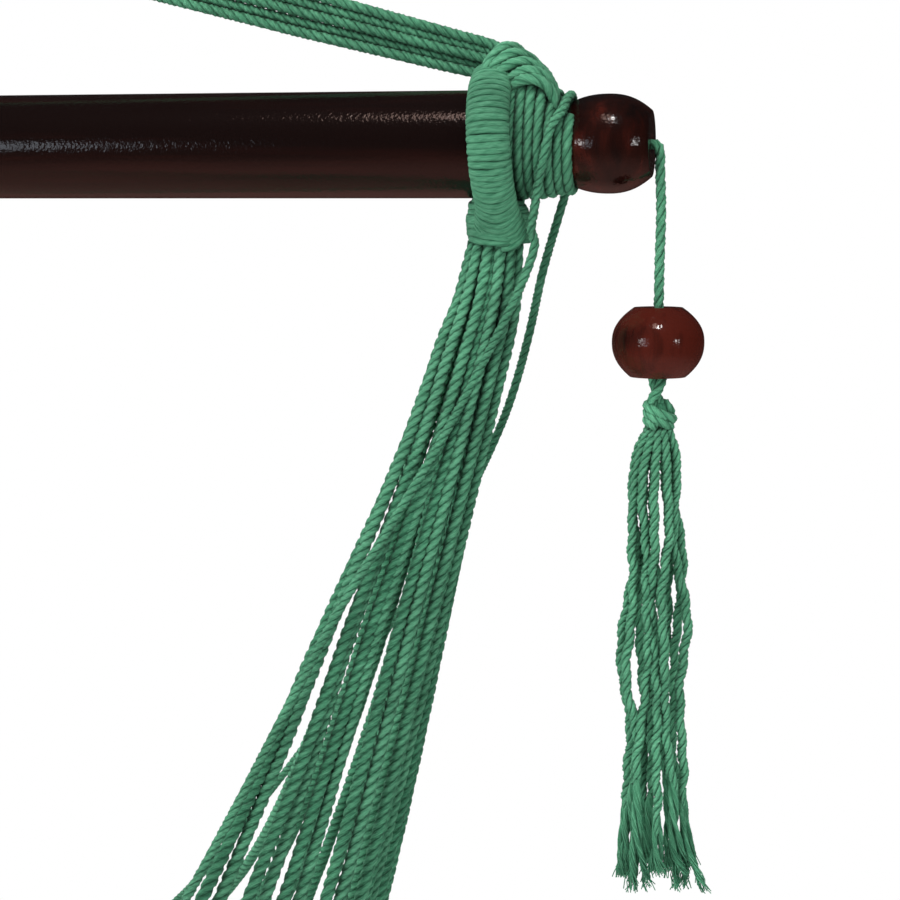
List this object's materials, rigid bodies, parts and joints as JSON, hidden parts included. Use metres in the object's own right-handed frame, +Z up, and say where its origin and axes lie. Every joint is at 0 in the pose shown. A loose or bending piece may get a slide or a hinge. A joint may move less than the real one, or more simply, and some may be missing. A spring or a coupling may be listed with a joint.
{
  "type": "hammock chair",
  "caption": "Hanging rope hammock chair: a turned wooden spreader bar on a rope bridle, a netted cord seat and a beaded tassel at each end.",
  "frame": {"origin": "where a hook bears inside the top of the hanging loop, over the middle of the bar", "axes": "+X along the spreader bar to its right-hand end, +Z up, and the sitter faces -Y"},
  "size_m": [1.0482, 0.6981, 1.1899],
  "materials": {
    "bar_wood": "dark mahogany stain under a clear gloss varnish",
    "bead_wood": "turned, red-brown stain under a clear gloss varnish",
    "cord": "three-strand twisted cotton-polyester cord, dyed sea green",
    "whipping": "tightly wound thin twine, dyed sea green"
  },
  "bodies": {
    "frame": {"spreader_bar": "bar_wood", "end_bead_right": "bead_wood", "end_bead_left": "bead_wood", "bar_lashing_right": "cord", "bar_lashing_left": "cord", "suspension_rope_1": "cord", "suspension_rope_2": "cord", "suspension_rope_3": "cord", "suspension_rope_4": "cord", "suspension_rope_5": "cord", "hanging_loop_whipping": "whipping", "neck_whipping": "whipping"},
    "seat": {"seat_net": "cord", "arm_cords_right": "cord", "arm_cords_left": "cord", "edge_cord": "cord", "end_loop_whipping_right": "whipping", "end_loop_whipping_left": "whipping", "throat_whipping_right": "whipping", "throat_whipping_left": "whipping"},
    "tassel_right": {"tassel_cord_right": "cord"},
    "tassel_bead_right": {"tassel_bead_right": "bead_wood"},
    "tassel_skirt_right": {"tassel_knot_right": "cord", "tassel_skirt_right": "cord"},
    "tassel_left": {"tassel_cord_left": "cord"},
    "tassel_bead_left": {"tassel_bead_left": "bead_wood"},
    "tassel_skirt_left": {"tassel_knot_left": "cord", "tassel_skirt_left": "cord"}
  },
  "joints": [
    {"name": "seat_swing", "type": "hinge", "parent": "frame", "child": "seat", "pos_m": [0, 0, -0.225], "axis": [1, 0, 0], "range_deg": [-30, 30]},
    {"name": "tassel_swing_right", "type": "hinge", "parent": "frame", "child": "tassel_right", "pos_m": [0.5104, 0, -0.225], "axis": [1, 0, 0], "range_deg": [-75, 75]},
    {"name": "tassel_bead_slide_right", "type": "slide", "parent": "tassel_right", "child": "tassel_bead_right", "axis": [0, 0, 1], "range_m": [0, 0.027]},
    {"name": "tassel_sway_right", "type": "hinge", "parent": "tassel_right", "child": "tassel_skirt_right", "pos_m": [0.5104, 0, -0.301], "axis": [0, 1, 0], "range_deg": [-30, 10]},
    {"name": "tassel_swing_left", "type": "hinge", "parent": "frame", "child": "tassel_left", "pos_m": [-0.5104, 0, -0.225], "axis": [1, 0, 0], "range_deg": [-75, 75]},
    {"name": "tassel_bead_slide_left", "type": "slide", "parent": "tassel_left", "child": "tassel_bead_left", "axis": [0, 0, 1], "range_m": [0, 0.027]},
    {"name": "tassel_sway_left", "type": "hinge", "parent": "tassel_left", "child": "tassel_skirt_left", "pos_m": [-0.5104, 0, -0.301], "axis": [0, -1, 0], "range_deg": [-30, 10]}
  ]
}
